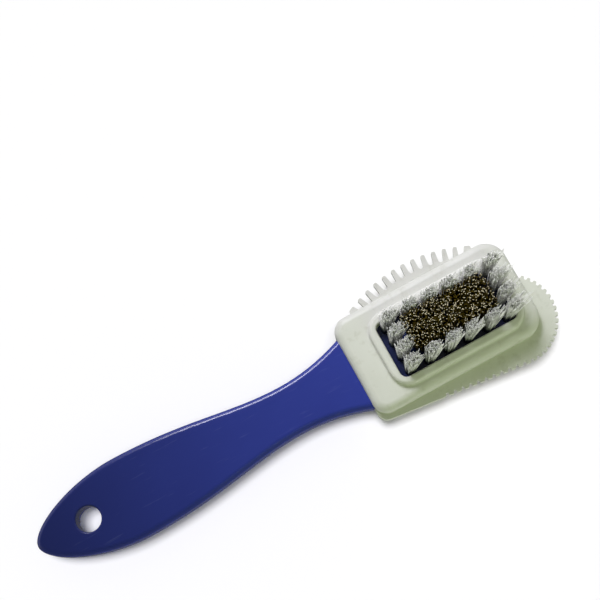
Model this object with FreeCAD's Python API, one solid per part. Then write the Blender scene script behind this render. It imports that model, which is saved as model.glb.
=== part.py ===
import FreeCAD, Part
import math
import os

# Suede brush, in millimetres
# The origin is the middle of the hang hole, on the handle's mid-plane. +X runs to the tip of the head,
# +Z to the bristles, and +Y to the coarse comb of the rubber boot.

# Handle and head plate, one moulding
handle_length = 112.1  # tail to the boot's mouth
handle_thickness = 7.6
handle_edge_radius = 1.9
bulge_width = 26.8
bulge_from_tail = 32.5
neck_width = 16.0
neck_from_mouth = 23.1
mouth_width = 24.6
hang_hole_diameter = 8.2
hang_hole_from_tail = 17.9
hang_hole_edge_radius = 0.6
plate_shoulder = 1.9  # how far the plate stands out past the mouth's width, each side
plate_length = 55.8  # the boot's mouth to the plate's far end
plate_corner_radius = 5.0
tail_blunt_share = 0.42  # how blunt the tail is, of half the bulge's width
tail_full_share = 0.50  # how long the bulge stays full towards the tail, of tail to bulge
bulge_full_share = 0.45  # how long the bulge stays full towards the neck, of bulge to neck
neck_full_share = 0.30  # how long the neck stays slim towards the bulge, of bulge to neck

# Cleaning block, and the room left round it in the boot's window
block_height = 7.6
block_corner_radius = 1.0
block_edge_bevel = 0.6
block_gap_end = 0.6
block_gap_side = 0.9

# Rubber boot, the slab with its two raised rims
slab_thickness = 12.4
boot_end_wall = 3.6  # the plate's far end to the slab's
boot_comb_wall = 3.1  # the plate's side to the slab's, under the coarse comb
boot_fine_wall = 1.9  # the plate's side to the slab's, above the fine teeth
slab_mouth_corner_radius = 5.0
slab_far_corner_radius = 7.0
slab_edge_radius = 2.6
boot_fit = 0.1
window_from_mouth = 12.0
window_from_plate_end = 3.0
window_from_plate_side = 4.6
window_corner_radius = 2.2
rim_width = 2.8
rim_height = 2.2
rim_corner_radius = 6.5
rim_edge_radius = 1.0
rim_foot_radius = 0.7
window_edge_radius = 0.6

# Rubber boot, the coarse comb on +Y
web_thickness = 2.2
web_root = 1.8  # how far the comb reaches into the slab's wall
comb_tooth_count = 13
comb_tooth_length = 4.0
comb_reach = 6.8  # slab side to the middle tooth's tip
comb_end_reach = 1.6  # slab side to the comb's two end corners
comb_end_margin = 7.9  # an end corner of the comb to the slab's end
comb_shift = 0.2  # the slab's middle to the middle tooth, towards the tip
comb_gap_root_width = 1.6
comb_gap_tip_width = 2.3
comb_tip_rounding_share = 0.35  # of a tooth's width at its tip

# Rubber boot, the fine-toothed flange on -Y and round the tip
flange_ledge = 1.4  # slab side to the flange's edge at the mouth's corner
flange_corner_radius = 3.0
lobe_radius = 14.6
lobe_inset = 8.2  # the slab's far end to the lobe's centre
lobe_offset = 8.4  # the middle line to the lobe's centre
lobe_end_angle = 62.0
fine_teeth_from_mouth = 22.2
fine_tooth_pitch = 2.6
lobe_tooth_pitch = 2.15
fine_notch_diameter = 1.0
fine_tip_radius = 0.4
fine_notch_flank = 0.05  # straight stretch between a notch's round root and the rounded tips beside it

# Tufts and their anchors
tuft_rows = 4
tuft_columns = 6
tuft_from_window_side = 2.1
tuft_from_window_end = 3.15
tuft_hole_diameter = 3.0
tuft_hole_depth = 5.0
tuft_fit = 0.06
tuft_free_length = 14.6
nylon_tip_gap = 0.8  # what a nylon tuft's tip leaves of the row pitch
brass_row_gap = 0.3  # what a brass tuft's tip leaves of the row pitch
brass_column_gap = 0.5  # what a brass tuft's tip leaves of the column pitch
anchor_fit = 0.1
anchor_thickness = 0.4
anchor_height = 1.6
anchor_lift = 0.8  # the fold of the filaments under the anchor

# Room for cuts to run past a face, and how close a value counts as equal
overrun = 2.0
snap = 0.001

# Places worked out from the sizes
UP = FreeCAD.Vector(0, 0, 1)
tail_x = -hang_hole_from_tail
mouth_x = tail_x + handle_length
bulge_x = tail_x + bulge_from_tail
neck_x = mouth_x - neck_from_mouth
plate_top = handle_thickness / 2
slab_top = slab_thickness / 2
rim_top = slab_top + rim_height
plate_side = mouth_width / 2 + plate_shoulder
slab_length = plate_length + boot_end_wall
slab_end_x = mouth_x + slab_length
comb_side = plate_side + boot_comb_wall
fine_side = plate_side + boot_fine_wall
window_x = mouth_x + window_from_mouth
window_length = plate_length - window_from_mouth - window_from_plate_end
window_side = plate_side - window_from_plate_side
block_length = window_length - 2 * block_gap_end
block_side = window_side - block_gap_side
comb_half_length = slab_length / 2 - comb_end_margin
comb_drop = comb_reach - comb_end_reach
comb_tip_arc_radius = (comb_half_length ** 2 + comb_drop ** 2) / (2 * comb_drop)
tuft_row_pitch = 2 * (window_side - tuft_from_window_side) / (tuft_rows - 1)
tuft_column_pitch = (window_length - 2 * tuft_from_window_end) / (tuft_columns - 1)
nylon_tip_width = tuft_row_pitch - nylon_tip_gap
brass_tip_width = tuft_row_pitch - brass_row_gap
brass_tip_length = tuft_column_pitch - brass_column_gap


def point(x, y, z=0):
    """A point in the brush's frame."""
    return FreeCAD.Vector(x, y, z)


def prism(edges, low, high):
    """Upright solid on a closed outline of edges that lie at height zero."""
    face = Part.Face(Part.Wire(edges))
    face.translate(UP * low)
    return face.extrude(UP * (high - low))


def line(start, end):
    """Straight edge."""
    return Part.LineSegment(start, end).toShape()


def on_circle(centre, radius, angle):
    """Point on a circle at an angle in degrees from +X."""
    turn = math.radians(angle)
    return centre + point(radius * math.cos(turn), radius * math.sin(turn))


def arc(centre, radius, start, end):
    """Edge of a circle from one angle to another, in degrees."""
    places = [on_circle(centre, radius, angle) for angle in (start, (start + end) / 2, end)]
    return Part.Arc(*places).toShape()


def level_edges(solid, height):
    """Edges of a solid that lie in the level plane at a height."""
    return [e for e in solid.Edges
            if abs(e.BoundBox.ZMin - height) < snap and abs(e.BoundBox.ZMax - height) < snap]


def upright_edges(solid):
    """Straight edges of a solid that run along Z."""
    return [e for e in solid.Edges
            if e.BoundBox.XLength < snap and e.BoundBox.YLength < snap and e.BoundBox.ZLength > snap]


def rounded_plate(x_low, length, left, right, low, high, near_corner, far_corner):
    """Level plate with sides on +Y and -Y, its upright corners rounded near the mouth and at the far end."""
    plate = Part.makeBox(length, left + right, high - low, point(x_low, -right, low))
    middle_x = x_low + length / 2
    plate = plate.makeFillet(near_corner, [e for e in upright_edges(plate) if e.BoundBox.XMax < middle_x])
    return plate.makeFillet(far_corner, [e for e in upright_edges(plate) if e.BoundBox.XMin > middle_x])


def bezier(*poles):
    """Curved edge from its poles."""
    curve = Part.BezierCurve()
    curve.setPoles(list(poles))
    return curve.toShape()


def handle_side(grow):
    """Curved edges of the handle's +Y side from the tail to the plate's full width, grown by a fit."""
    tail = tail_x - grow
    bulge = bulge_width / 2 + grow
    neck = neck_width / 2 + grow
    mouth = mouth_width / 2 + grow
    plate = plate_side + grow
    waist = neck_x - bulge_x
    flare = neck_from_mouth / 2
    shoulder = flare * (plate - mouth) / (mouth - neck)
    return [
        bezier(point(tail, 0), point(tail, bulge * tail_blunt_share),
               point(bulge_x - bulge_from_tail * tail_full_share, bulge), point(bulge_x, bulge)),
        bezier(point(bulge_x, bulge), point(bulge_x + waist * bulge_full_share, bulge),
               point(neck_x - waist * neck_full_share, neck), point(neck_x, neck)),
        bezier(point(neck_x, neck), point(neck_x + flare, neck), point(mouth_x, mouth)),
        bezier(point(mouth_x, mouth), point(mouth_x + shoulder, plate), point(mouth_x + 2 * shoulder, plate)),
    ]


def handle_blank(grow):
    """Handle and head plate without holes, every face grown outwards by a fit."""
    curves = handle_side(grow)
    mirrored = [edge.mirror(point(0, 0), point(0, 1)) for edge in curves]
    shoulder_x = curves[-1].BoundBox.XMax
    side = plate_side + grow
    corner_x = mouth_x + plate_length - plate_corner_radius
    corner_y = plate_side - plate_corner_radius
    corner = plate_corner_radius + grow
    edges = [
        line(point(shoulder_x, side), point(corner_x, side)),
        arc(point(corner_x, corner_y), corner, 90, 0),
        line(point(corner_x + corner, corner_y), point(corner_x + corner, -corner_y)),
        arc(point(corner_x, -corner_y), corner, 0, -90),
        line(point(corner_x, -side), point(shoulder_x, -side)),
    ]
    top = plate_top + grow
    blank = prism(Part.__sortEdges__(curves + edges + mirrored), -top, top)
    return blank.makeFillet(handle_edge_radius + grow, level_edges(blank, top) + level_edges(blank, -top))


def tuft_places():
    """Row, column and place on the plate of each tuft hole."""
    first_x = window_x + tuft_from_window_end
    first_y = window_side - tuft_from_window_side
    places = []
    for row in range(tuft_rows):
        for column in range(tuft_columns):
            x = first_x + tuft_column_pitch * column
            y = first_y - tuft_row_pitch * row
            places.append((row, column, point(x, y, plate_top)))
    return places


def is_border(row, column):
    """Whether a tuft stands in the outer ring, which is nylon."""
    return row in (0, tuft_rows - 1) or column in (0, tuft_columns - 1)


def make_handle():
    """Handle with its hang hole, and the head plate with its blind tuft holes."""
    hole_radius = hang_hole_diameter / 2
    bore = Part.makeCylinder(hole_radius, handle_thickness + 2 * overrun, point(0, 0, -plate_top - overrun))
    drilled = handle_blank(0).cut(bore)
    rims = [e for e in level_edges(drilled, plate_top) + level_edges(drilled, -plate_top)
            if e.BoundBox.XMax < hole_radius + snap and e.BoundBox.XMin > -hole_radius - snap]
    drilled = drilled.makeFillet(hang_hole_edge_radius, rims)
    drill = tuft_hole_diameter / 2
    holes = [Part.makeCylinder(drill, tuft_hole_depth + overrun, place - UP * tuft_hole_depth)
             for _, _, place in tuft_places()]
    return drilled.cut(holes)


def oval(place, length, width):
    """Closed level outline of a round or oval section, its length along X or Y."""
    if abs(length - width) < snap:
        return Part.Wire(Part.Circle(place, UP, width / 2).toShape())
    long_way = point(length / 2, 0) if length > width else point(0, width / 2)
    short_way = point(0, width / 2) if length > width else point(-length / 2, 0)
    return Part.Wire(Part.Ellipse(place + long_way, place + short_way, place).toShape())


def anchor_box(place, grow):
    """Flat anchor across a tuft hole, over the fold of its filaments, grown by a fit."""
    length = tuft_hole_diameter - 2 * anchor_fit + 2 * grow
    thickness = anchor_thickness + 2 * grow
    low = place - UP * (tuft_hole_depth - anchor_lift + grow)
    return Part.makeBox(length, thickness, anchor_height + 2 * grow, low - point(length / 2, thickness / 2))


def make_tuft(place, tip_length, tip_width):
    """Tuft folded over its anchor: straight in its hole, then flaring to an oval brush end."""
    root = tuft_hole_diameter - 2 * tuft_fit
    sections = [
        oval(place - UP * tuft_hole_depth, root, root),
        oval(place, root, root),
        oval(place + UP * tuft_free_length, tip_length, tip_width),
    ]
    return Part.makeLoft(sections, True, True).cut(anchor_box(place, anchor_fit))


def make_comb():
    """Coarse comb of the boot: a curved web with tapered teeth and rounded gaps between them."""
    middle_x = mouth_x + slab_length / 2 + comb_shift
    centre = point(middle_x, comb_side + comb_reach - comb_tip_arc_radius)
    half_sweep = math.degrees(math.asin(comb_half_length / comb_tip_arc_radius))
    tip_run = 2 * math.radians(half_sweep) * comb_tip_arc_radius
    pitch = (tip_run + 2 * comb_gap_tip_width) / (comb_tooth_count + 1)
    step = math.degrees(pitch / comb_tip_arc_radius)
    tooth_tip = pitch - comb_gap_tip_width
    left = on_circle(centre, comb_tip_arc_radius, 90 + half_sweep)
    right = on_circle(centre, comb_tip_arc_radius, 90 - half_sweep)
    foot_y = comb_side - web_root
    edges = [
        arc(centre, comb_tip_arc_radius, 90 - half_sweep, 90 + half_sweep),
        line(left, point(left.x, foot_y)),
        line(point(left.x, foot_y), point(right.x, foot_y)),
        line(point(right.x, foot_y), right),
    ]
    half_web = web_thickness / 2
    gaps = [make_comb_gap(centre, step * (k - comb_tooth_count / 2)) for k in range(1, comb_tooth_count)]
    comb = prism(edges, -half_web, half_web).cut(gaps)
    tips = []
    for edge in upright_edges(comb):
        away = math.hypot(edge.BoundBox.XMin - centre.x, edge.BoundBox.YMin - centre.y)
        if abs(away - comb_tip_arc_radius) < snap:
            tips.append(edge)
    return comb.makeFillet(tooth_tip * comb_tip_rounding_share, tips)


def make_comb_gap(centre, turn):
    """Cutter for one gap of the comb, turned about the centre of the arc of tooth tips."""
    root_half = comb_gap_root_width / 2
    tip_half = comb_gap_tip_width / 2
    root_y = comb_tip_arc_radius - comb_tooth_length + root_half
    spread = (tip_half - root_half) / (comb_tip_arc_radius - root_y)
    outer_y = comb_tip_arc_radius + overrun
    outer_half = root_half + spread * (outer_y - root_y)
    corners = [point(-root_half, root_y), point(root_half, root_y), point(outer_half, outer_y),
               point(-outer_half, outer_y)]
    sides = [line(corners[k - 1], corners[k]) for k in range(len(corners))]
    high = web_thickness / 2 + overrun
    cutter = prism(sides, -high, high).fuse(Part.makeCylinder(root_half, 2 * high, point(0, root_y, -high)))
    cutter.rotate(point(0, 0), UP, turn)
    cutter.translate(centre)
    return cutter


def make_flange():
    """Thin flange that starts as a ledge, widens along -Y and rounds the tip, notched into fine teeth."""
    corner = flange_corner_radius
    corner_centre = point(mouth_x + corner, corner - fine_side - flange_ledge)
    centre = point(slab_end_x - lobe_inset, -lobe_offset)
    reach = centre - corner_centre
    heading = math.degrees(math.atan2(reach.y, reach.x) - math.asin((lobe_radius - corner) / reach.Length))
    first_angle = heading - 90
    start = on_circle(corner_centre, corner, first_angle)
    touch = on_circle(centre, lobe_radius, first_angle)
    lobe_end = on_circle(centre, lobe_radius, lobe_end_angle)
    edges = [
        arc(corner_centre, corner, 180, 360 + first_angle),
        line(start, touch),
        arc(centre, lobe_radius, first_angle, lobe_end_angle),
        line(lobe_end, point(centre.x, 0)),
        line(point(centre.x, 0), point(mouth_x, 0)),
        line(point(mouth_x, 0), point(mouth_x, corner_centre.y)),
    ]
    high = web_thickness / 2
    straight = (touch - start).Length
    notches = []
    gone = mouth_x + fine_teeth_from_mouth - start.x
    while gone < straight:
        notches.append(make_fine_notch(start + on_circle(point(0, 0), gone, heading), first_angle))
        gone += fine_tooth_pitch
    angle = first_angle + math.degrees((gone - straight) / lobe_radius)
    while angle < lobe_end_angle:
        notches.append(make_fine_notch(on_circle(centre, lobe_radius, angle), angle))
        angle += math.degrees(lobe_tooth_pitch / lobe_radius)
    return prism(edges, -high, high).cut(notches)


def make_fine_notch(place, outward):
    """Cutter for one notch in the flange's edge, which also rounds the two teeth beside it."""
    half = fine_notch_diameter / 2
    wide = half + fine_tip_radius
    root_y = -fine_tip_radius - fine_notch_flank
    edges = [
        arc(point(-wide, -fine_tip_radius), fine_tip_radius, 90, 0),
        line(point(-half, -fine_tip_radius), point(-half, root_y)),
        arc(point(0, root_y), half, 180, 360),
        line(point(half, root_y), point(half, -fine_tip_radius)),
        arc(point(wide, -fine_tip_radius), fine_tip_radius, 180, 90),
        line(point(wide, 0), point(wide, overrun)),
        line(point(wide, overrun), point(-wide, overrun)),
        line(point(-wide, overrun), point(-wide, 0)),
    ]
    high = web_thickness / 2 + overrun
    cutter = prism(edges, -high, high)
    cutter.rotate(point(0, 0), UP, outward - 90)
    cutter.translate(place)
    return cutter


def make_boot():
    """Rubber boot: slab, two rimmed windows, comb and flange, hollow for the head plate."""
    slab = rounded_plate(mouth_x, slab_length, comb_side, fine_side, -slab_top, slab_top,
                         slab_mouth_corner_radius, slab_far_corner_radius)
    slab = slab.makeFillet(slab_edge_radius, level_edges(slab, slab_top) + level_edges(slab, -slab_top))
    rim_x = window_x - rim_width
    rim_length = window_length + 2 * rim_width
    rim_side = window_side + rim_width
    rim = rounded_plate(rim_x, rim_length, rim_side, rim_side, -rim_top, rim_top, rim_corner_radius,
                        rim_corner_radius)
    rim = rim.makeFillet(rim_edge_radius, level_edges(rim, rim_top) + level_edges(rim, -rim_top))
    boot = slab.fuse(rim)
    feet = [e for e in level_edges(boot, slab_top) + level_edges(boot, -slab_top)
            if abs(e.CenterOfMass.y) < rim_side + snap and e.BoundBox.XMin > rim_x - snap
            and e.BoundBox.XMax < rim_x + rim_length + snap]
    boot = boot.makeFillet(rim_foot_radius, feet)
    cutter = rounded_plate(window_x, window_length, window_side, window_side, -rim_top - overrun,
                           rim_top + overrun, window_corner_radius, window_corner_radius)
    boot = boot.cut(cutter)
    lips = [e for e in level_edges(boot, rim_top) + level_edges(boot, -rim_top)
            if abs(e.CenterOfMass.y) < window_side + snap and e.BoundBox.XMin > window_x - snap
            and e.BoundBox.XMax < window_x + window_length + snap]
    boot = boot.makeFillet(window_edge_radius, lips)
    return boot.fuse([make_comb(), make_flange()]).cut(handle_blank(boot_fit))


def make_block():
    """Cleaning block seated on the plate's underside, its working face bevelled round."""
    low = -plate_top - block_height
    block = rounded_plate(window_x + block_gap_end, block_length, block_side, block_side, low, -plate_top,
                          block_corner_radius, block_corner_radius)
    return block.makeChamfer(block_edge_bevel, level_edges(block, low))


def save(name, shape):
    """Write one piece and print its measures."""
    shape.exportStep("parts/" + name + ".step")
    box = shape.BoundBox
    print(name, shape.isValid(), len(shape.Solids), round(shape.Volume, 2),
          [round(v, 2) for v in (box.XMin, box.YMin, box.ZMin, box.XMax, box.YMax, box.ZMax)])


os.makedirs("parts", exist_ok=True)
save("handle", make_handle())
save("rubber_boot", make_boot())
save("cleaning_block", make_block())
for row, column, place in tuft_places():
    label = "_tuft_row_" + str(row + 1) + "_column_" + str(column + 1)
    if is_border(row, column):
        save("nylon" + label, make_tuft(place, nylon_tip_width, nylon_tip_width))
    else:
        save("brass" + label, make_tuft(place, brass_tip_length, brass_tip_width))
save("tuft_anchors", Part.makeCompound([anchor_box(place, 0) for _, _, place in tuft_places()]))
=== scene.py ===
import logging
import math
import random
from dataclasses import dataclass
from enum import Enum
from typing import Any

import bmesh
import bpy
from mathutils import Matrix, Vector


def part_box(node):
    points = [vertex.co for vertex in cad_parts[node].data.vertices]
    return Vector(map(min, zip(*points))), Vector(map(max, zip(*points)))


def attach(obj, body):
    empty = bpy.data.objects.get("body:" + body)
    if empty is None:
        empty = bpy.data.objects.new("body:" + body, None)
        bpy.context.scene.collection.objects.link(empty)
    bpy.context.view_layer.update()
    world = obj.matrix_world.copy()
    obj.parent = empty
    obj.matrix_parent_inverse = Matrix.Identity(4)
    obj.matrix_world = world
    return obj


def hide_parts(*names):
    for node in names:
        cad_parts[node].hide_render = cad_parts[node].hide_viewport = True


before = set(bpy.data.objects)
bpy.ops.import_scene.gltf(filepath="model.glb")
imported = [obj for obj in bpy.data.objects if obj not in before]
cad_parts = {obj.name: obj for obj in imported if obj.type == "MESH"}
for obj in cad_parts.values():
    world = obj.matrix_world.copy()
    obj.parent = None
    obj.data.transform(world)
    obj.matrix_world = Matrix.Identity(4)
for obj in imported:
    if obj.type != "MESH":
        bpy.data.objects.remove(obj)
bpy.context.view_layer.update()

# Suede brush: a blue plastic handle, a grey rubber boot with two toothed edges over its head, tufts of nylon
# and brass on one face of the head and a cleaning block in the other. Lengths below are in millimetres and
# angles in degrees, where a comment says nothing else.
MM = 0.001
log = logging.getLogger("suede_brush")

# Sockets of a Mix node for colours, whose names other sockets of the node have too.
MIX_SHARE, MIX_UNDER, MIX_OVER, MIX_COLOUR = 0, 6, 7, 2
# Sockets of a Map Range node, in the order of its four values.
RANGE = ("From Min", "From Max", "To Min", "To Max")
# A span is the start and the end of a range, and a pair holds one value along X and one along Y.
Span = tuple[float, float]
Pair = tuple[float, float]
Triple = tuple[float, float, float]


class Body(Enum):
    """The bodies of the frame that pieces ride on."""

    BRUSH = "brush"
    BLOCK = "block"


class Slot(Enum):
    """Names of the record's material slots for the pieces built here; the builders hold them, but no slot is
    assigned.
    """

    HANDLE = "handle_plastic"
    BOOT = "boot_rubber"
    BLOCK = "block_compound"
    NYLON = "nylon_filament"
    BRASS = "brass_wire"


def linear(colour: str) -> tuple[float, float, float, float]:
    """Turns an sRGB hex value into linear colour.

    Args:
        colour: Six hex digits after a hash sign.

    Returns:
        Red, green, blue and alpha, linear.
    """
    parts = [int(colour[k:k + 2], 16) / 255 for k in (1, 3, 5)]
    red, green, blue = [c / 12.92 if c <= 0.04045 else ((c + 0.055) / 1.055) ** 2.4 for c in parts]
    return red, green, blue, 1.0


def per_metre(size: float) -> float:
    """Texture scale that gives a pattern features of a size in millimetres."""
    return 1 / (size * MM)


def add_node(tree: bpy.types.NodeTree, kind: str, values: dict[Any, Any] | None = None,
             links: dict[Any, bpy.types.NodeSocket] | None = None, **settings: Any) -> bpy.types.Node:
    """Adds a node with its settings and links.

    Args:
        tree: Node tree that takes the node.
        kind: Blender's name for the kind of node.
        values: Values of input sockets, by name or number.
        links: Output sockets that feed input sockets, by the input's name or number.
        **settings: The node's own properties.

    Returns:
        The new node.
    """
    made = tree.nodes.new(kind)
    for name, value in settings.items():
        setattr(made, name, value)
    for socket, value in (values or {}).items():
        made.inputs[socket].default_value = value
    for socket, source in (links or {}).items():
        tree.links.new(source, made.inputs[socket])
    return made


@dataclass(frozen=True)
class Finish:
    """What every finish holds: a name, two colours that it wanders between, and how it throws light back."""

    name: str
    colour: str
    second: str
    roughness: float
    ior: float = 1.5
    metallic: float = 0.0

    def start(self) -> tuple[bpy.types.Material, bpy.types.Node, bpy.types.NodeSocket]:
        """Starts the material with its even values.

        Returns:
            The material, its shader and the object coordinates.
        """
        material = bpy.data.materials.new(self.name)
        material.use_nodes = True
        shader = material.node_tree.nodes["Principled BSDF"]
        shader.inputs["Metallic"].default_value = self.metallic
        shader.inputs["Roughness"].default_value = self.roughness
        if not self.metallic:
            shader.inputs["IOR"].default_value = self.ior
        place = add_node(material.node_tree, "ShaderNodeTexCoord").outputs["Object"]
        return material, shader, place


@dataclass(frozen=True)
class MouldedPolypropylene(Finish):
    """Injection-moulded polypropylene: deep colour under a smooth satin skin with a few faint rubbed scuffs.

    The head plate, which starts inside the boot, is darkened with painted shade where shade falls in the boot's
    window.
    """

    cloud: float = 16.0
    rubbed: str = "#8a95d6"
    scuff: float = 0.8
    scuff_stretch: float = 0.08
    scuff_detail: float = 4.0
    dull_span: Span = (0.55, 0.8)
    dull_gain: float = 0.03
    pale_span: Span = (0.64, 0.82)
    pale_share: float = 0.13
    # Painted shade of the head plate in the boot's window, and the span along X over which it sets in.
    plate_shade: str = "#1a2554"
    plate_shade_span: Span = (98.0, 103.0)

    def build(self) -> bpy.types.Material:
        """Builds the material.

        Returns:
            The material.
        """
        material, shader, place = self.start()
        tree = material.node_tree
        # The pigment lies a little unevenly, in clouds a little over half as wide as the grip.
        cloud = add_node(tree, "ShaderNodeTexNoise", {"Scale": per_metre(self.cloud)}, {"Vector": place})
        pigment = add_node(tree, "ShaderNodeMix",
                           {MIX_UNDER: linear(self.colour), MIX_OVER: linear(self.second)},
                           {MIX_SHARE: cloud.outputs["Fac"]}, data_type="RGBA")
        # Scuffs run along the handle. Real ones are finer than a pixel, so these are drawn coarser.
        along = add_node(tree, "ShaderNodeMapping",
                         {"Scale": (self.scuff_stretch, 1.0, 1.0)}, {"Vector": place})
        scuffs = add_node(tree, "ShaderNodeTexNoise",
                          {"Scale": per_metre(self.scuff), "Detail": self.scuff_detail},
                          {"Vector": along.outputs["Vector"]})
        dull = self.roughness + self.dull_gain
        dulled = add_node(tree, "ShaderNodeMapRange",
                          dict(zip(RANGE, (*self.dull_span, self.roughness, dull))),
                          {"Value": scuffs.outputs["Fac"]})
        paled = add_node(tree, "ShaderNodeMapRange",
                         dict(zip(RANGE, (*self.pale_span, 0.0, self.pale_share))),
                         {"Value": scuffs.outputs["Fac"]})
        worn = add_node(tree, "ShaderNodeMix", {MIX_OVER: linear(self.rubbed)},
                        {MIX_SHARE: paled.outputs["Result"], MIX_UNDER: pigment.outputs[MIX_COLOUR]},
                        data_type="RGBA")
        # Painted shade: the head plate turns dark in the boot's window, where shade falls among the tufts. The
        # boot hides where the darkening begins.
        way = add_node(tree, "ShaderNodeSeparateXYZ", links={"Vector": place})
        start, full = self.plate_shade_span
        stains_and_shade = add_node(tree, "ShaderNodeMapRange", dict(zip(RANGE, (start * MM, full * MM, 0.0, 1.0))),
                          {"Value": way.outputs["X"]})
        colour = add_node(tree, "ShaderNodeMix", {MIX_OVER: linear(self.plate_shade)},
                          {MIX_SHARE: stains_and_shade.outputs["Result"], MIX_UNDER: worn.outputs[MIX_COLOUR]},
                          data_type="RGBA")
        tree.links.new(colour.outputs[MIX_COLOUR], shader.inputs["Base Color"])
        tree.links.new(dulled.outputs["Result"], shader.inputs["Roughness"])
        return material


@dataclass(frozen=True)
class MouldedRubber(Finish):
    """Moulded natural rubber: soft, matt and mottled, with a dusty grain and grime in faint stains."""

    mottle: float = 8.0
    mottle_detail: float = 3.0
    grime: str = "#9d9c84"
    stain: float = 2.4
    stain_detail: float = 5.0
    stain_span: Span = (0.55, 0.8)
    stain_share: float = 0.3
    grain: float = 0.45
    grain_depth: float = 0.04
    grain_strength: float = 0.3

    def build(self) -> bpy.types.Material:
        """Builds the material.

        Returns:
            The material.
        """
        material, shader, place = self.start()
        tree = material.node_tree
        cloud = add_node(tree, "ShaderNodeTexNoise",
                         {"Scale": per_metre(self.mottle), "Detail": self.mottle_detail}, {"Vector": place})
        body = add_node(tree, "ShaderNodeMix",
                        {MIX_UNDER: linear(self.colour), MIX_OVER: linear(self.second)},
                        {MIX_SHARE: cloud.outputs["Fac"]}, data_type="RGBA")
        stains = add_node(tree, "ShaderNodeTexNoise",
                          {"Scale": per_metre(self.stain), "Detail": self.stain_detail}, {"Vector": place})
        stains_and_shade = add_node(tree, "ShaderNodeMapRange",
                          dict(zip(RANGE, (*self.stain_span, 0.0, self.stain_share))),
                          {"Value": stains.outputs["Fac"]})
        dirty = add_node(tree, "ShaderNodeMix", {MIX_OVER: linear(self.grime)},
                         {MIX_SHARE: stains_and_shade.outputs["Result"], MIX_UNDER: body.outputs[MIX_COLOUR]},
                         data_type="RGBA")
        # The mould's grain is about 0.1 mm, drawn four times coarser so that it shows.
        grain = add_node(tree, "ShaderNodeTexNoise", {"Scale": per_metre(self.grain)}, {"Vector": place})
        relief = add_node(tree, "ShaderNodeBump",
                          {"Strength": self.grain_strength, "Distance": self.grain_depth * MM},
                          {"Height": grain.outputs["Fac"]})
        tree.links.new(dirty.outputs[MIX_COLOUR], shader.inputs["Base Color"])
        tree.links.new(relief.outputs["Normal"], shader.inputs["Normal"])
        return material


@dataclass(frozen=True)
class CleaningCompound(Finish):
    """Pressed crepe compound: cream, crumbly and quite matt, with brown and pale crumbs pressed into it."""

    cloud: float = 5.0
    cloud_detail: float = 3.0
    pale: str = "#f1ecdd"
    pale_detail: float = 2.0
    pale_span: Span = (0.45, 0.7)
    pale_share: float = 0.6
    speck: str = "#8d7a58"
    speck_spacing: float = 1.5
    speck_draw: Span = (0.74, 0.86)
    speck_share: float = 0.6
    speck_edge: Span = (0.12, 0.24)
    crumb: float = 0.6
    crumb_detail: float = 4.0
    crumb_depth: float = 0.25
    crumb_strength: float = 0.5

    def build(self) -> bpy.types.Material:
        """Builds the material.

        Returns:
            The material.
        """
        material, shader, place = self.start()
        tree = material.node_tree
        cloud = add_node(tree, "ShaderNodeTexNoise",
                         {"Scale": per_metre(self.cloud), "Detail": self.cloud_detail}, {"Vector": place})
        body = add_node(tree, "ShaderNodeMix",
                        {MIX_UNDER: linear(self.colour), MIX_OVER: linear(self.second)},
                        {MIX_SHARE: cloud.outputs["Fac"]}, data_type="RGBA")
        grains = add_node(tree, "ShaderNodeTexNoise",
                          {"Scale": per_metre(self.crumb), "Detail": self.pale_detail}, {"Vector": place})
        spread = add_node(tree, "ShaderNodeMapRange",
                          dict(zip(RANGE, (*self.pale_span, 0.0, self.pale_share))),
                          {"Value": grains.outputs["Fac"]})
        grainy = add_node(tree, "ShaderNodeMix", {MIX_OVER: linear(self.pale)},
                          {MIX_SHARE: spread.outputs["Result"], MIX_UNDER: body.outputs[MIX_COLOUR]},
                          data_type="RGBA")
        # One cell in five holds a brown crumb, about half a millimetre across.
        cells = add_node(tree, "ShaderNodeTexVoronoi",
                         {"Scale": per_metre(self.speck_spacing)}, {"Vector": place})
        draw = add_node(tree, "ShaderNodeSeparateColor", links={"Color": cells.outputs["Color"]})
        chosen = add_node(tree, "ShaderNodeMapRange",
                          dict(zip(RANGE, (*self.speck_draw, 0.0, self.speck_share))),
                          {"Value": draw.outputs["Red"]})
        inside = add_node(tree, "ShaderNodeMapRange", dict(zip(RANGE, (*self.speck_edge, 1.0, 0.0))),
                          {"Value": cells.outputs["Distance"]})
        share = add_node(tree, "ShaderNodeMath", operation="MULTIPLY",
                         links={0: chosen.outputs["Result"], 1: inside.outputs["Result"]})
        specked = add_node(tree, "ShaderNodeMix", {MIX_OVER: linear(self.speck)},
                           {MIX_SHARE: share.outputs["Value"], MIX_UNDER: grainy.outputs[MIX_COLOUR]},
                           data_type="RGBA")
        crumbs = add_node(tree, "ShaderNodeTexNoise",
                          {"Scale": per_metre(self.crumb), "Detail": self.crumb_detail}, {"Vector": place})
        relief = add_node(tree, "ShaderNodeBump",
                          {"Strength": self.crumb_strength, "Distance": self.crumb_depth * MM},
                          {"Height": crumbs.outputs["Fac"]})
        tree.links.new(specked.outputs[MIX_COLOUR], shader.inputs["Base Color"])
        tree.links.new(relief.outputs["Normal"], shader.inputs["Normal"])
        return material


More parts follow.
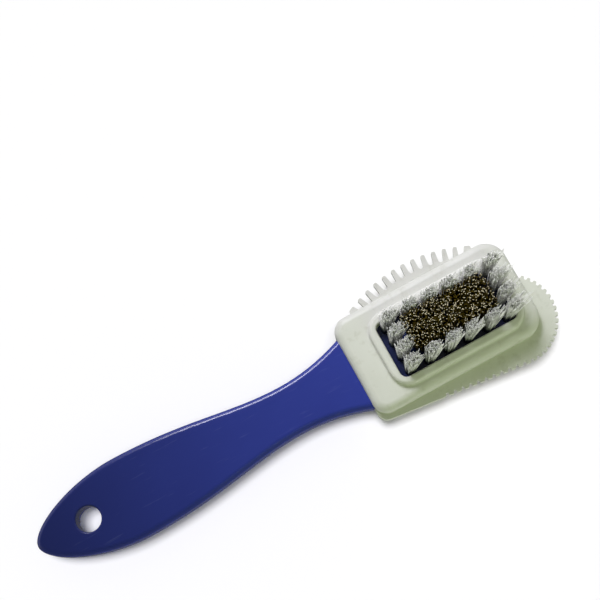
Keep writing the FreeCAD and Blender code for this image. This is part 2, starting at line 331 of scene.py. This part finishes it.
@dataclass(frozen=True)
class NylonFilament(Finish):
    """Drawn nylon filament: milky white with a soft shine and streaked, with painted blue shade low down by the
    plate.
    """

    milkiness: float = 1.0
    milk_radius: Triple = (1.0, 1.0, 1.0)
    milk_depth: float = 1.0
    streak: float = 0.5
    streak_stretch: float = 0.1
    # Painted shade low down among the tufts, tinted with the plate's blue, and the heights over which it fades.
    root: str = "#363d62"
    root_shade_span: Span = (5.5, 10.5)

    def build(self) -> bpy.types.Material:
        """Builds the material.

        Returns:
            The material.
        """
        material, shader, place = self.start()
        tree = material.node_tree
        shader.inputs["Subsurface Weight"].default_value = self.milkiness
        shader.inputs["Subsurface Radius"].default_value = self.milk_radius
        shader.inputs["Subsurface Scale"].default_value = self.milk_depth * MM
        # Streaks run with the filaments, so the pattern is drawn out along Z.
        along = add_node(tree, "ShaderNodeMapping",
                         {"Scale": (1.0, 1.0, self.streak_stretch)}, {"Vector": place})
        streaks = add_node(tree, "ShaderNodeTexNoise", {"Scale": per_metre(self.streak)},
                           {"Vector": along.outputs["Vector"]})
        tone = add_node(tree, "ShaderNodeMix",
                        {MIX_UNDER: linear(self.colour), MIX_OVER: linear(self.second)},
                        {MIX_SHARE: streaks.outputs["Fac"]}, data_type="RGBA")
        # Painted shade: the filaments turn dull blue near their roots, standing in for the shade among the
        # tufts, tinted with the plate's blue.
        height = add_node(tree, "ShaderNodeSeparateXYZ", links={"Vector": place})
        low, high = self.root_shade_span
        clear = add_node(tree, "ShaderNodeMapRange", dict(zip(RANGE, (low * MM, high * MM, 0.0, 1.0))),
                         {"Value": height.outputs["Z"]})
        colour = add_node(tree, "ShaderNodeMix", {MIX_UNDER: linear(self.root)},
                          {MIX_SHARE: clear.outputs["Result"], MIX_OVER: tone.outputs[MIX_COLOUR]},
                          data_type="RGBA")
        tree.links.new(colour.outputs[MIX_COLOUR], shader.inputs["Base Color"])
        return material


@dataclass(frozen=True)
class DrawnBrassWire(Finish):
    """Drawn brass wire, tarnished olive-brown along its sides; its cut ends are drawn pale, partly as worn
    brass and partly as a painted glint.
    """

    tarnish: float = 0.9
    # Pale worn cut ends with a painted glint, how far below the highest ends they reach, and their metallic
    # share.
    worn: str = "#efe4c0"
    worn_depth: float = 0.3
    worn_metallic: float = 0.35
    flat_span: Span = (0.75, 0.85)

    def build(self, ends: float) -> bpy.types.Material:
        """Builds the material.

        Args:
            ends: Height of the highest cut ends.

        Returns:
            The material.
        """
        material, shader, place = self.start()
        tree = material.node_tree
        patches = add_node(tree, "ShaderNodeTexNoise", {"Scale": per_metre(self.tarnish)}, {"Vector": place})
        sides = add_node(tree, "ShaderNodeMix",
                         {MIX_UNDER: linear(self.colour), MIX_OVER: linear(self.second)},
                         {MIX_SHARE: patches.outputs["Fac"]}, data_type="RGBA")
        # Only the flat, upward-facing cut ends of the longest wires are drawn pale and less metallic: partly
        # rubbed brass, partly a painted glint.
        height = add_node(tree, "ShaderNodeSeparateXYZ", links={"Vector": place})
        low, high = (ends - self.worn_depth) * MM, (ends - self.worn_depth / 2) * MM
        tall = add_node(tree, "ShaderNodeMapRange", dict(zip(RANGE, (low, high, 0.0, 1.0))),
                        {"Value": height.outputs["Z"]})
        normal = add_node(tree, "ShaderNodeTexCoord").outputs["Normal"]
        facing = add_node(tree, "ShaderNodeSeparateXYZ", links={"Vector": normal})
        flat = add_node(tree, "ShaderNodeMapRange", dict(zip(RANGE, (*self.flat_span, 0.0, 1.0))),
                        {"Value": facing.outputs["Z"]})
        rubbed = add_node(tree, "ShaderNodeMath", operation="MULTIPLY",
                          links={0: tall.outputs["Result"], 1: flat.outputs["Result"]})
        colour = add_node(tree, "ShaderNodeMix", {MIX_OVER: linear(self.worn)},
                          {MIX_SHARE: rubbed.outputs["Value"], MIX_UNDER: sides.outputs[MIX_COLOUR]},
                          data_type="RGBA")
        metal = add_node(tree, "ShaderNodeMapRange", dict(zip(RANGE, (0.0, 1.0, 1.0, self.worn_metallic))),
                         {"Value": rubbed.outputs["Value"]})
        tree.links.new(colour.outputs[MIX_COLOUR], shader.inputs["Base Color"])
        tree.links.new(metal.outputs["Result"], shader.inputs["Metallic"])
        return material


@dataclass(frozen=True)
class GalvanisedSteel(Finish):
    """Galvanised flat wire: a dull grey metal with a faint spangle."""

    spangle: float = 1.2

    def build(self) -> bpy.types.Material:
        """Builds the material.

        Returns:
            The material.
        """
        material, shader, place = self.start()
        tree = material.node_tree
        cells = add_node(tree, "ShaderNodeTexVoronoi", {"Scale": per_metre(self.spangle)}, {"Vector": place})
        tone = add_node(tree, "ShaderNodeMix",
                        {MIX_UNDER: linear(self.colour), MIX_OVER: linear(self.second)},
                        {MIX_SHARE: cells.outputs["Distance"]}, data_type="RGBA")
        tree.links.new(tone.outputs[MIX_COLOUR], shader.inputs["Base Color"])
        return material


BLUE_PLASTIC = MouldedPolypropylene("moulded_blue_polypropylene", "#293690", "#2e3c9b", roughness=0.24,
                                    ior=1.49)
GREY_RUBBER = MouldedRubber("moulded_grey_rubber", "#dadbd4", "#d0d1c7", roughness=0.5, ior=1.52)
CREAM_COMPOUND = CleaningCompound("pressed_cleaning_compound", "#e5dfd0", "#d9d0bd", roughness=0.85, ior=1.5)
WHITE_NYLON = NylonFilament("drawn_nylon_filament", "#fdfdf8", "#ecece8", roughness=0.35, ior=1.53)
BRASS_WIRE = DrawnBrassWire("drawn_brass_wire", "#77671f", "#4c4014", roughness=0.42, metallic=1.0)
ANCHOR_STEEL = GalvanisedSteel("galvanised_steel", "#9a9c9e", "#84878a", roughness=0.42, metallic=1.0)


def new_piece(name: str, mesh: bmesh.types.BMesh, material: bpy.types.Material, body: Body) -> bpy.types.Object:
    """Turns a bmesh into a piece that rides on a body.

    Args:
        name: Name of the piece.
        mesh: Finished bmesh, which is freed.
        material: Material of all its faces.
        body: Body that the piece rides on.

    Returns:
        The piece's object.
    """
    data = bpy.data.meshes.new(name)
    mesh.to_mesh(data)
    mesh.free()
    data.materials.append(material)
    piece = bpy.data.objects.new(name, data)
    bpy.context.scene.collection.objects.link(piece)
    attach(piece, body.value)
    log.info("%s: %d faces on %s", name, len(data.polygons), body.value)
    return piece


@dataclass
class MouldedShell:
    """A moulding that keeps its CAD shape: a merged copy whose rounded edges shade as round."""

    node: str
    name: str
    slot: Slot
    flat_angle: float = 0.2
    sharp_angle: float = 32.0
    merge: float = 0.0005

    def build(self, material: bpy.types.Material) -> bpy.types.Object:
        """Copies the node, merges its triangles and smooths its shading.

        Args:
            material: Finish of the moulding.

        Returns:
            The piece that stands for the node.
        """
        mesh = bmesh.new()
        mesh.from_mesh(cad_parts[self.node].data)
        bmesh.ops.remove_doubles(mesh, verts=mesh.verts, dist=self.merge * MM)
        bmesh.ops.dissolve_limit(mesh, angle_limit=math.radians(self.flat_angle), verts=mesh.verts,
                                 edges=mesh.edges, delimit={"NORMAL"})
        for face in mesh.faces:
            face.smooth = True
        for edge in mesh.edges:
            edge.smooth = edge.calc_face_angle(math.pi) < math.radians(self.sharp_angle)
        piece = new_piece(self.name, mesh, material, Body.BRUSH)
        self.soften(piece)
        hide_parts(self.node)
        return piece

    def soften(self, piece: bpy.types.Object) -> None:
        """Adds the modifier that evens the moulding's shading."""
        evened = piece.modifiers.new("even_shading", "WEIGHTED_NORMAL")
        evened.keep_sharp = True


@dataclass
class RubberBoot(MouldedShell):
    """The boot: as its CAD node, with its thin webs' sharp edges eased as rubber leaves a mould."""

    eased_edge: float = 0.35
    eased_segments: int = 2
    eased_angle: float = 50.0

    def soften(self, piece: bpy.types.Object) -> None:
        """Eases the sharp edges, then evens the shading.

        Args:
            piece: The boot.
        """
        ease = piece.modifiers.new("eased_edges", "BEVEL")
        ease.width = self.eased_edge * MM
        ease.segments = self.eased_segments
        ease.limit_method = "ANGLE"
        ease.angle_limit = math.radians(self.eased_angle)
        super().soften(piece)


@dataclass
class CleaningBlock:
    """The block of cleaning compound, its cut edges chipped and its working face a little uneven.

    Level and cut are tolerances, for points at one height and for points on a cutting plane.
    """

    node: str = "cleaning_block"
    corner: float = 1.0
    corner_segments: int = 3
    edge: float = 0.7
    edge_segments: int = 2
    level: float = 0.001
    cell: float = 0.95
    cut: float = 0.0001
    chip: float = 0.26
    chip_seed: int = 41
    face_share: float = 0.1
    rough_border: float = 1.6

    def build(self, material: bpy.types.Material) -> bpy.types.Object:
        """Builds the block inside its node's box.

        Args:
            material: Finish of the block.

        Returns:
            The piece that stands for the node.
        """
        low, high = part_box(self.node)
        middle, size = (low + high) / 2, high - low
        mesh = bmesh.new()
        place = Matrix.Translation(middle) @ Matrix.Diagonal(size.to_4d())
        bmesh.ops.create_cube(mesh, size=1.0, matrix=place)
        upright = [e for e in mesh.edges if abs(e.verts[0].co.z - e.verts[1].co.z) > size.z / 2]
        bmesh.ops.bevel(mesh, geom=upright, offset=self.corner * MM, offset_type="OFFSET", affect="EDGES",
                        segments=self.corner_segments, profile=0.5, material=-1, clamp_overlap=True)
        rim = [e for e in mesh.edges if all(abs(v.co.z - low.z) < self.level * MM for v in e.verts)]
        bmesh.ops.bevel(mesh, geom=rim, offset=self.edge * MM, offset_type="OFFSET", affect="EDGES",
                        segments=self.edge_segments, profile=0.5, material=-1, clamp_overlap=True)
        self.divide(mesh)
        self.chip_edges(mesh, low, high)
        for face in mesh.faces:
            face.smooth = max(self.inset(v.co, low, high) for v in face.verts) > self.rough_border * MM
        piece = new_piece("chipped_cleaning_block", mesh, material, Body.BLOCK)
        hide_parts(self.node)
        return piece

    def divide(self, mesh: bmesh.types.BMesh) -> None:
        """Cuts the block's faces into cells with level and upright planes.

        Args:
            mesh: Bmesh of the block.
        """
        for axis in range(3):
            places = [v.co[axis] for v in mesh.verts]
            low, high = min(places), max(places)
            count = max(2, round((high - low) / (self.cell * MM)))
            normal = Vector([float(k == axis) for k in range(3)])
            for k in range(1, count):
                where = normal * (low + (high - low) * k / count)
                geom = mesh.verts[:] + mesh.edges[:] + mesh.faces[:]
                bmesh.ops.bisect_plane(mesh, geom=geom, dist=self.cut * MM, plane_co=where, plane_no=normal)

    def inset(self, place: Vector, low: Vector, high: Vector) -> float:
        """How far inside the block's outline a place lies."""
        return min(place.x - low.x, high.x - place.x, place.y - low.y, high.y - place.y)

    def chip_edges(self, mesh: bmesh.types.BMesh, low: Vector, high: Vector) -> None:
        """Pushes points inwards at random, most at the working face's edges.

        Args:
            mesh: Bmesh of the block.
            low: Lowest corner of the block.
            high: Highest corner of the block.
        """
        chance = random.Random(self.chip_seed)
        mesh.normal_update()
        for vert in mesh.verts:
            near_edge = max(self.inset(vert.co, low, high), vert.co.z - low.z) < self.rough_border * MM
            share = 1.0 if near_edge else self.face_share
            if high.z - vert.co.z > self.cell * MM:
                # The square makes deep chips rare.
                vert.co -= vert.normal * chance.random() ** 2 * share * self.chip * MM


class Filament(Enum):
    """The two kinds of filament in the head, by the start of their nodes' names."""

    NYLON = "nylon"
    BRASS = "brass"


@dataclass(frozen=True)
class FilamentKind:
    """How one kind of filament stands in its tuft.

    Lean is where the tips go from straight above the hole, fan how much further they go at the ends and
    sides of the field, and crowd how much wider than its solid a tuft's brush end is. Drag is how far use has
    combed some tips on towards the far end, and flare how far the last column splays over the rim. Filaments
    spread out early on their way up where bend is below one, else late. Stir is how far tips go astray, and
    uneven how much shorter some filaments are. Strays are the few that stand well off the rest.
    """

    kind: Filament
    slot: Slot
    count: int
    root_radius: float
    tip_radius: float
    sides: int
    squareness: float
    crowd: Pair
    lean: Pair
    fan: Pair
    drag: float
    flare: float
    bend: float
    stir: float
    uneven: float
    stray_share: float
    stray: float


# Real filaments are about 0.15 mm thick, and several hundred fill a tuft. They are drawn 0.2 to 0.28 mm thick
# and fewer, because thinner ones are lost between the pixels.
NYLON_KIND = FilamentKind(
    Filament.NYLON, Slot.NYLON, count=190, root_radius=0.1, tip_radius=0.11, sides=5, squareness=0.3,
    crowd=(1.0, 0.85), lean=(1.2, 0.9), fan=(0.4, 0.3), drag=3.0, flare=3.0, bend=1.4, stir=0.22, uneven=0.6,
    stray_share=0.004, stray=2.0)
BRASS_KIND = FilamentKind(
    Filament.BRASS, Slot.BRASS, count=210, root_radius=0.14, tip_radius=0.14, sides=6, squareness=0.85,
    crowd=(1.2, 1.36), lean=(1.2, 0.8), fan=(0.5, 0.5), drag=0.0, flare=0.0, bend=0.4, stir=0.25, uneven=0.6,
    stray_share=0.0, stray=0.0)


@dataclass
class TuftField:
    """All tufts of one kind, each a bundle of separate filaments in place of its CAD node.

    Tufts beyond the share last_column of the field's half length are its last column. The jitter of a
    filament's turn is in radians.
    """

    style: FilamentKind
    seed: int
    field_middle: Pair = (126.6, 0.0)
    field_half: Pair = (17.25, 7.5)
    last_column: float = 0.9
    hole_radius: float = 1.35
    foot: float = 2.6
    trim: float = 1.0
    turn_jitter: float = 0.2
    stray_bend: float = 3.0
    drag_power: float = 1.5
    flare_power: float = 3.0
    stations: tuple[float, ...] = (0.0, 0.15, 0.4, 0.7, 1.0)

    def build(self, material: bpy.types.Material) -> list[bpy.types.Object]:
        """Builds every tuft of the kind.

        Args:
            material: Finish of the filaments.

        Returns:
            The tufts' pieces.
        """
        prefix = self.style.kind.value + "_tuft"
        names = sorted(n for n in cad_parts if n.startswith(prefix))
        return [self.build_tuft(name, material, self.seed + k) for k, name in enumerate(names)]

    def build_tuft(self, node: str, material: bpy.types.Material, seed: int) -> bpy.types.Object:
        """Builds one tuft.

        Args:
            node: CAD node that the tuft stands for.
            material: Finish of the filaments.
            seed: Seed of the tuft's random draws.

        Returns:
            The tuft's piece.
        """
        paths = self.lay_paths(node, random.Random(seed))
        mesh = bmesh.new()
        number = mesh.faces.layers.int.new("filament")
        caps = []
        for k, path in enumerate(paths):
            ring = bmesh.ops.create_circle(mesh, cap_ends=True, segments=self.style.sides,
                                           radius=self.radius(0) * MM, matrix=Matrix.Translation(path[0]))
            caps.append(ring["verts"][0].link_faces[0])
            caps[-1][number] = k
        for k in range(1, len(self.stations)):
            caps = bmesh.ops.extrude_discrete_faces(mesh, faces=caps)["faces"]
            grow = Matrix.Scale(self.radius(k) / self.radius(k - 1), 4)
            for cap in caps:
                path = paths[cap[number]]
                step = Matrix.Translation(path[k]) @ grow @ Matrix.Translation(-path[k - 1])
                for vert in cap.verts:
                    vert.co = step @ vert.co
        bmesh.ops.holes_fill(mesh, edges=[e for e in mesh.edges if e.is_boundary], sides=self.style.sides)
        mesh.faces.layers.int.remove(number)
        bmesh.ops.recalc_face_normals(mesh, faces=mesh.faces)
        piece = new_piece(node.replace("tuft", "filaments"), mesh, material, Body.BRUSH)
        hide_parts(node)
        return piece

    def radius(self, station: int) -> float:
        """Radius of a filament at a station."""
        style = self.style
        return style.root_radius + (style.tip_radius - style.root_radius) * self.stations[station]

    def lay_paths(self, node: str, chance: random.Random) -> list[list[Vector]]:
        """Lays out the filaments of one tuft.

        Args:
            node: CAD node that the tuft stands for.
            chance: The tuft's random draws.

        Returns:
            The middle of each filament at every station, from its root to its cut tip.
        """
        style = self.style
        low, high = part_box(node)
        middle, half = (low + high) / 2, (high - low) / 2
        off = [(middle[k] / MM - self.field_middle[k]) / self.field_half[k] for k in (0, 1)]
        lean = Vector([(style.lean[k] + style.fan[k] * off[k]) * MM for k in (0, 1)] + [0.0])
        flare = style.flare * MM if off[0] > self.last_column else 0.0
        paths = []
        for k in range(style.count):
            # The golden angle spreads the filaments evenly over the hole and over the brush end.
            turn = k * math.pi * (3 - math.sqrt(5)) + chance.uniform(-self.turn_jitter, self.turn_jitter)
            way = Vector((math.cos(turn), math.sin(turn), 0.0)) * math.sqrt((k + 0.5) / style.count)
            root = Vector((middle.x, middle.y, self.foot * MM)) + way * self.hole_radius * MM
            wide = way / max(abs(math.cos(turn)), abs(math.sin(turn))) ** style.squareness
            tip = Vector((middle.x + wide.x * half.x * style.crowd[0],
                          middle.y + wide.y * half.y * style.crowd[1], high.z)) + lean
            loose = chance.random() < style.stray_share
            stir, bend = (style.stray, self.stray_bend) if loose else (style.stir, style.bend)
            dragged = chance.random() ** self.drag_power * style.drag * MM
            onward = dragged + chance.random() ** self.flare_power * flare
            aside = Vector((chance.gauss(0, stir) * MM + onward, chance.gauss(0, stir) * MM, 0.0))
            # A filament that lies over keeps its length, so its tip comes down.
            length, reach = tip.z - root.z, (tip + aside - root).to_2d().length
            fallen = length - math.sqrt(max(length ** 2 - reach ** 2, 0.0))
            drop = max(fallen - self.trim * MM, 0.0) + abs(chance.gauss(0, style.uneven)) * MM
            end = tip + aside - Vector((0.0, 0.0, drop))
            wave = Vector((chance.uniform(-1, 1), chance.uniform(-1, 1), 0.0)) * style.stir * MM
            paths.append([self.along(root, end, share, bend) + wave * math.sin(share * math.pi)
                          for share in self.stations])
        return paths

    def along(self, root: Vector, end: Vector, share: float, bend: float) -> Vector:
        """Point on a bent filament, at a share of its height.

        Args:
            root: Middle of the filament's foot.
            end: Middle of its cut tip.
            share: Share of the height.
            bend: Power of the share by which it has gone aside.

        Returns:
            The point.
        """
        level = root.lerp(end, share)
        aside = root.lerp(end, share ** bend)
        return Vector((aside.x, aside.y, level.z))


@dataclass
class TuftAnchors:
    """The flat anchors in the tuft holes, which keep their CAD node."""

    node: str = "tuft_anchors"

    def dress(self, material: bpy.types.Material) -> None:
        """Gives the anchors their finish.

        Args:
            material: Finish of the anchors.
        """
        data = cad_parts[self.node].data
        data.materials.clear()
        data.materials.append(material)
        log.info("%s: CAD node, %s", self.node, material.name)


@dataclass(frozen=True)
class SoftLamp:
    """A rectangular softbox, which shows in gloss only where it is mirrored."""

    name: str
    place: Triple
    aim: Triple
    size: Pair
    power: float
    spread: float
    colour: str
    mirrored: bool = True

    def build(self) -> bpy.types.Object:
        """Hangs the lamp and turns it to its aim.

        Returns:
            The lamp.
        """
        data = bpy.data.lights.new(self.name, "AREA")
        data.shape = "RECTANGLE"
        data.size, data.size_y = self.size[0] * MM, self.size[1] * MM
        data.energy = self.power
        data.spread = math.radians(self.spread)
        data.color = linear(self.colour)[:3]
        lamp = bpy.data.objects.new(self.name, data)
        where = Vector(self.place) * MM
        turn = (Vector(self.aim) * MM - where).to_track_quat("-Z", "Y")
        lamp.matrix_world = Matrix.Translation(where) @ turn.to_matrix().to_4x4()
        lamp.visible_glossy = self.mirrored
        bpy.context.scene.collection.objects.link(lamp)
        return lamp


@dataclass(frozen=True)
class PaperLamp:
    """A far lamp overhead that lights the paper evenly, so that the object's soft shadow shows on white."""

    name: str
    toward: Triple
    strength: float
    angle: float
    colour: str

    def build(self) -> bpy.types.Object:
        """Hangs the lamp.

        Returns:
            The lamp.
        """
        data = bpy.data.lights.new(self.name, "SUN")
        data.energy = self.strength
        data.angle = math.radians(self.angle)
        data.color = linear(self.colour)[:3]
        lamp = bpy.data.objects.new(self.name, data)
        lamp.rotation_euler = Vector(self.toward).to_track_quat("Z", "Y").to_euler()
        bpy.context.scene.collection.objects.link(lamp)
        return lamp


# The key stands beyond the coarse comb, wide enough to edge the grip with light, and a weak warm-green bounce
# lifts the shaded side of the head.
KEY_LAMP = SoftLamp("key_lamp", place=(128.0, 215.0, 225.0), aim=(130.0, 0.0, 5.0), size=(200.0, 125.0),
                    power=0.095, spread=42.0, colour="#f6f4ff")
BOUNCE_LAMP = SoftLamp("bounce_lamp", place=(150.0, -230.0, 160.0), aim=(132.0, -12.0, 0.0),
                       size=(200.0, 200.0), power=0.048, spread=60.0, colour="#e9ffc0", mirrored=False)
# The near one of the two paper lamps shines from the camera's side and lights the paper under the hang hole.
PAPER_LAMP = PaperLamp("paper_lamp", toward=(-0.05, 0.05, 1.0), strength=2.4, angle=15.0, colour="#f9f8ff")
NEAR_PAPER_LAMP = PaperLamp("near_paper_lamp", toward=(0.1, -0.16, 1.0), strength=0.8, angle=20.0,
                            colour="#f9f8ff")


@dataclass
class Studio:
    """Pale floor, soft lamps, world and camera.

    The three spans are of a direction's height or depth, from -1 to 1, and the mirrored room dims over them.
    """

    lens: float = 90.0
    near_clip: float = 10.0
    camera_place: Triple = (72.6, -82.3, 464.5)
    camera_right: Triple = (0.8783, -0.4712, -0.0803)
    camera_up: Triple = (0.4766, 0.8502, 0.2238)
    lamps: tuple[SoftLamp, ...] = (KEY_LAMP, BOUNCE_LAMP)
    paper_lamps: tuple[PaperLamp, ...] = (PAPER_LAMP, NEAR_PAPER_LAMP)
    fill: float = 0.16
    fill_colour: str = "#f6fce0"
    wall_colour: str = "#ffffff"
    dim: float = 0.15
    above_span: Span = (0.3, 0.75)
    below_span: Span = (-0.2, -0.1)
    near_span: Span = (-0.3, 0.3)
    floor_size: float = 4000.0
    floor_drop: float = 0.02
    paper: str = "#f4f4f2"
    paper_roughness: float = 0.9

    def build(self) -> None:
        """Builds the whole studio."""
        floor = self.build_floor()
        for lamp in self.paper_lamps:
            self.share_light(lamp.build(), floor, "INCLUDE")
        for lamp in self.lamps:
            self.share_light(lamp.build(), floor, "EXCLUDE")
        self.build_world()
        self.build_camera()
        bpy.context.scene.view_settings.view_transform = "Standard"

    def share_light(self, lamp: bpy.types.Object, floor: bpy.types.Object, share: str) -> None:
        """Gives a lamp's light to the floor alone, or to all but the floor.

        Args:
            lamp: The lamp.
            floor: The floor.
            share: INCLUDE for the floor alone, EXCLUDE for all but the floor.
        """
        lit = bpy.data.collections.new(lamp.name + "_lights")
        lit.objects.link(floor)
        lit.collection_objects[0].light_linking.link_state = share
        lamp.light_linking.receiver_collection = lit

    def build_floor(self) -> bpy.types.Object:
        """Lays white paper under the block and hangs it on the block, so that the block always rests on it.

        Returns:
            The floor.
        """
        low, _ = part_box("cleaning_block")
        mesh = bmesh.new()
        place = Matrix.Translation((0.0, 0.0, low.z - self.floor_drop * MM))
        bmesh.ops.create_grid(mesh, x_segments=1, y_segments=1, size=self.floor_size * MM / 2, matrix=place)
        data = bpy.data.meshes.new("floor")
        mesh.to_mesh(data)
        mesh.free()
        material = bpy.data.materials.new("white_paper_floor")
        material.use_nodes = True
        paper = material.node_tree.nodes["Principled BSDF"]
        paper.inputs["Base Color"].default_value = linear(self.paper)
        paper.inputs["Roughness"].default_value = self.paper_roughness
        data.materials.append(material)
        floor = bpy.data.objects.new("floor", data)
        floor.visible_glossy = False
        bpy.context.scene.collection.objects.link(floor)
        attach(floor, Body.BLOCK.value)
        return floor

    def build_world(self) -> None:
        """Makes the world an even soft fill that the camera sees as white.

        Gloss mirrors a room with white walls, which dims towards its ceiling, its ground and the near side.
        """
        world = bpy.data.worlds.new("studio")
        bpy.context.scene.world = world
        world.use_nodes = True
        tree = world.node_tree
        fill = tree.nodes["Background"]
        fill.inputs["Color"].default_value = linear(self.fill_colour)
        fill.inputs["Strength"].default_value = self.fill
        toward = add_node(tree, "ShaderNodeTexCoord").outputs["Generated"]
        way = add_node(tree, "ShaderNodeSeparateXYZ", links={"Vector": toward}).outputs
        above = add_node(tree, "ShaderNodeMapRange", dict(zip(RANGE, (*self.above_span, 1.0, self.dim))),
                         {"Value": way["Z"]})
        below = add_node(tree, "ShaderNodeMapRange", dict(zip(RANGE, (*self.below_span, self.dim, 1.0))),
                         {"Value": way["Z"]})
        near = add_node(tree, "ShaderNodeMapRange", dict(zip(RANGE, (*self.near_span, self.dim, 1.0))),
                        {"Value": way["Y"]})
        upright = add_node(tree, "ShaderNodeMath", operation="MINIMUM",
                           links={0: above.outputs["Result"], 1: below.outputs["Result"]})
        room = add_node(tree, "ShaderNodeMath", operation="MINIMUM",
                        links={0: upright.outputs["Value"], 1: near.outputs["Result"]})
        path = add_node(tree, "ShaderNodeLightPath").outputs
        level = add_node(tree, "ShaderNodeMath", operation="MAXIMUM",
                         links={0: room.outputs["Value"], 1: path["Is Camera Ray"]})
        walls = add_node(tree, "ShaderNodeBackground", {"Color": linear(self.wall_colour)},
                         {"Strength": level.outputs["Value"]})
        first = add_node(tree, "ShaderNodeMath", operation="MAXIMUM",
                         links={0: path["Is Camera Ray"], 1: path["Is Glossy Ray"]})
        seen = add_node(tree, "ShaderNodeMath", operation="MAXIMUM",
                        links={0: first.outputs["Value"], 1: path["Is Transmission Ray"]})
        mix = add_node(tree, "ShaderNodeMixShader",
                       links={0: seen.outputs["Value"], 1: fill.outputs["Background"],
                              2: walls.outputs["Background"]})
        tree.links.new(mix.outputs["Shader"], tree.nodes["World Output"].inputs["Surface"])

    def build_camera(self) -> None:
        """Sets the camera at the photograph's viewing angle."""
        data = bpy.data.cameras.new("camera")
        data.lens = self.lens
        data.clip_start = self.near_clip * MM
        camera = bpy.data.objects.new("camera", data)
        right, up = Vector(self.camera_right).normalized(), Vector(self.camera_up)
        back = right.cross(up).normalized()
        turn = Matrix((right, back.cross(right), back)).transposed().to_4x4()
        camera.matrix_world = Matrix.Translation(Vector(self.camera_place) * MM) @ turn
        bpy.context.scene.collection.objects.link(camera)
        bpy.context.scene.camera = camera


def main() -> None:
    """Builds the brush and its studio in order."""
    logging.basicConfig(level=logging.INFO, format="%(name)s %(message)s")
    MouldedShell("handle", "blue_handle", Slot.HANDLE).build(BLUE_PLASTIC.build())
    RubberBoot("rubber_boot", "grey_boot", Slot.BOOT).build(GREY_RUBBER.build())
    CleaningBlock().build(CREAM_COMPOUND.build())
    TuftField(NYLON_KIND, seed=100).build(WHITE_NYLON.build())
    _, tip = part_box("brass_tuft_row_2_column_2")
    TuftField(BRASS_KIND, seed=300).build(BRASS_WIRE.build(tip.z / MM))
    TuftAnchors().dress(ANCHOR_STEEL.build())
    Studio().build()


if __name__ == "__main__":
    main()
